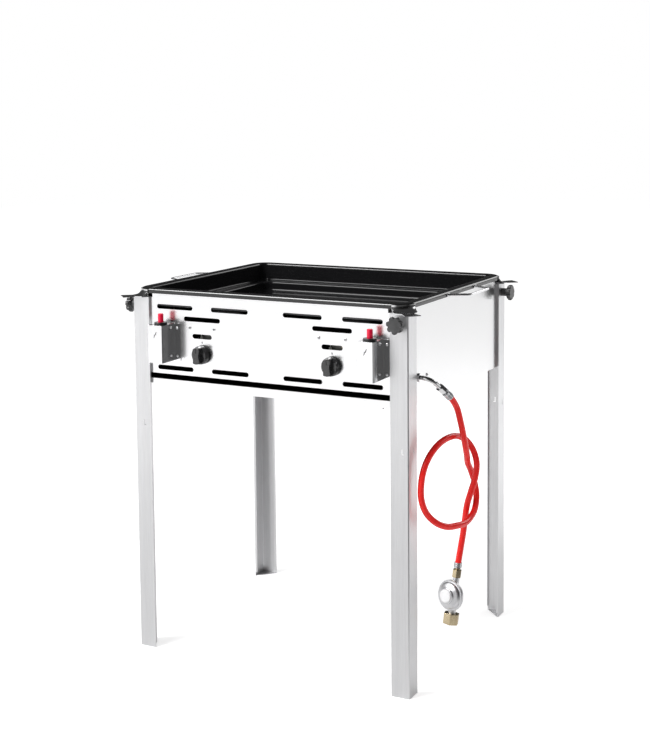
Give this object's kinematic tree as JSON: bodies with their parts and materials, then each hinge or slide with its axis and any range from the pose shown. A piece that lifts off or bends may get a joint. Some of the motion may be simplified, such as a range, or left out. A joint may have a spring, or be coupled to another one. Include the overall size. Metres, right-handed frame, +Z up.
{
  "type": "propane burner stand",
  "caption": "Free-standing gas frying stand: steel casing on angle legs with bar burners, valve knobs, push igniters, a black enamel pan with wire handles, and a red hose with regulator.",
  "frame": {"origin": "centre of the footprint on the floor", "axes": "+Z up, front with the knobs towards -Y, gas inlet towards +X"},
  "size_m": [0.7624, 0.6097, 0.796],
  "materials": {
    "brushed_leg_steel": "fine vertical brushing",
    "foot_steel": "satin sheet",
    "polished_panel_steel": "bright polished sheet",
    "support_steel": "satin sheet with folded edges",
    "stud_steel": "zinc-plated thread",
    "black_knob_plastic": "moulded black",
    "black_enamel": "glossy vitreous enamel",
    "plated_wire": "bright wire",
    "burner_steel": "plain pressed sheet",
    "manifold_steel": "plain tube",
    "valve_brass": "machined brass",
    "spindle_steel": "turned steel",
    "valve_knob_plastic": "moulded black with a white mark",
    "white_ceramic": "glazed ceramic",
    "lead_rubber": "insulated lead",
    "cover_steel": "bright polished sheet",
    "igniter_plastic": "moulded black",
    "red_button_plastic": "glossy red",
    "fastener_steel": "bright fastener",
    "elbow_chrome": "bright plated tube",
    "ferrule_steel": "zinc-plated",
    "red_hose_rubber": "satin red",
    "nut_brass": "machined brass",
    "regulator_zinc": "die-cast, clear lacquer"
  },
  "bodies": {
    "stand": {"leg_front_left": "brushed_leg_steel", "leg_front_right": "brushed_leg_steel", "leg_back_right": "brushed_leg_steel", "leg_back_left": "brushed_leg_steel", "foot_plates": "foot_steel", "side_panel_left": "polished_panel_steel", "side_panel_right": "polished_panel_steel", "back_panel": "polished_panel_steel", "front_panel": "polished_panel_steel", "bottom_tray": "polished_panel_steel", "corner_supports": "support_steel", "clamp_studs": "stud_steel", "burner_left": "burner_steel", "burner_right": "burner_steel", "burner_bracket_left": "burner_steel", "burner_bracket_right": "burner_steel", "burner_rear_rail": "burner_steel", "gas_manifold": "manifold_steel", "manifold_strap": "burner_steel", "manifold_plug": "valve_brass", "valve_body_left": "valve_brass", "valve_body_right": "valve_brass", "injectors": "valve_brass", "thermocouples": "valve_brass", "spark_electrodes": "white_ceramic", "spark_lead_left": "lead_rubber", "spark_lead_right": "lead_rubber", "igniter_cover_left": "cover_steel", "igniter_cover_right": "cover_steel", "igniter_body_left": "igniter_plastic", "igniter_body_right": "igniter_plastic", "collar_nut_left": "igniter_plastic", "collar_nut_right": "igniter_plastic", "cover_rivets": "fastener_steel", "panel_screws": "fastener_steel", "inlet_elbow": "elbow_chrome", "inlet_nut": "elbow_chrome", "hose_tail": "ferrule_steel", "gas_hose": "red_hose_rubber", "hose_ferrule": "ferrule_steel", "regulator_nut": "nut_brass", "regulator_body": "regulator_zinc", "regulator_bonnet": "regulator_zinc"},
    "left_valve_core": {"valve_core_left": "valve_brass"},
    "right_valve_core": {"valve_core_right": "valve_brass"},
    "left_valve_knob": {"valve_spindle_left": "spindle_steel", "valve_knob_left": "valve_knob_plastic"},
    "right_valve_knob": {"valve_spindle_right": "spindle_steel", "valve_knob_right": "valve_knob_plastic"},
    "left_igniter_button": {"igniter_button_left": "red_button_plastic"},
    "right_igniter_button": {"igniter_button_right": "red_button_plastic"},
    "front_left_star_knob": {"star_knob_front_left": "black_knob_plastic"},
    "front_right_star_knob": {"star_knob_front_right": "black_knob_plastic"},
    "back_right_star_knob": {"star_knob_back_right": "black_knob_plastic"},
    "back_left_star_knob": {"star_knob_back_left": "black_knob_plastic"},
    "pan": {"roasting_pan": "black_enamel", "pan_handle_left": "plated_wire", "pan_handle_right": "plated_wire", "pan_handle_lugs": "plated_wire"},
    "cylinder_nut": {"cylinder_nut": "nut_brass"}
  },
  "joints": [
    {"name": "left_valve_turn", "type": "hinge", "parent": "stand", "child": "left_valve_core", "pos_m": [-0.1545, -0.264, 0.661], "axis": [0, -1, 0], "range_deg": [0, 180]},
    {"name": "left_knob_push", "type": "slide", "parent": "left_valve_core", "child": "left_valve_knob", "axis": [0, 1, 0], "range_m": [0, 0.003], "stiffness_N_per_m": 600, "springref_m": -0.001},
    {"name": "right_valve_turn", "type": "hinge", "parent": "stand", "child": "right_valve_core", "pos_m": [0.1545, -0.264, 0.661], "axis": [0, -1, 0], "range_deg": [0, 180]},
    {"name": "right_knob_push", "type": "slide", "parent": "right_valve_core", "child": "right_valve_knob", "axis": [0, 1, 0], "range_m": [0, 0.003], "stiffness_N_per_m": 600, "springref_m": -0.001},
    {"name": "left_igniter_press", "type": "slide", "parent": "stand", "child": "left_igniter_button", "axis": [0, 0, -1], "range_m": [0, 0.006], "stiffness_N_per_m": 500, "springref_m": -0.002},
    {"name": "right_igniter_press", "type": "slide", "parent": "stand", "child": "right_igniter_button", "axis": [0, 0, -1], "range_m": [0, 0.006], "stiffness_N_per_m": 500, "springref_m": -0.002},
    {"name": "front_left_star_knob_turn", "type": "hinge", "parent": "stand", "child": "front_left_star_knob", "pos_m": [-0.325, -0.25, 0.757], "axis": [-1, 0, 0], "continuous": true},
    {"name": "front_right_star_knob_turn", "type": "hinge", "parent": "stand", "child": "front_right_star_knob", "pos_m": [0.305, -0.27, 0.757], "axis": [0, -1, 0], "continuous": true},
    {"name": "back_right_star_knob_turn", "type": "hinge", "parent": "stand", "child": "back_right_star_knob", "pos_m": [0.325, 0.25, 0.757], "axis": [1, 0, 0], "continuous": true},
    {"name": "back_left_star_knob_turn", "type": "hinge", "parent": "stand", "child": "back_left_star_knob", "pos_m": [-0.305, 0.27, 0.757], "axis": [0, 1, 0], "continuous": true},
    {"name": "pan_lift_off", "type": "slide", "parent": "stand", "child": "pan", "axis": [0, 0, 1], "range_m": [0, 0.15]},
    {"name": "cylinder_nut_turn", "type": "hinge", "parent": "stand", "child": "cylinder_nut", "pos_m": [0.34726, -0.10706, 0.11674], "axis": [-0.0865, -0.1219, -0.9888], "continuous": true}
  ]
}
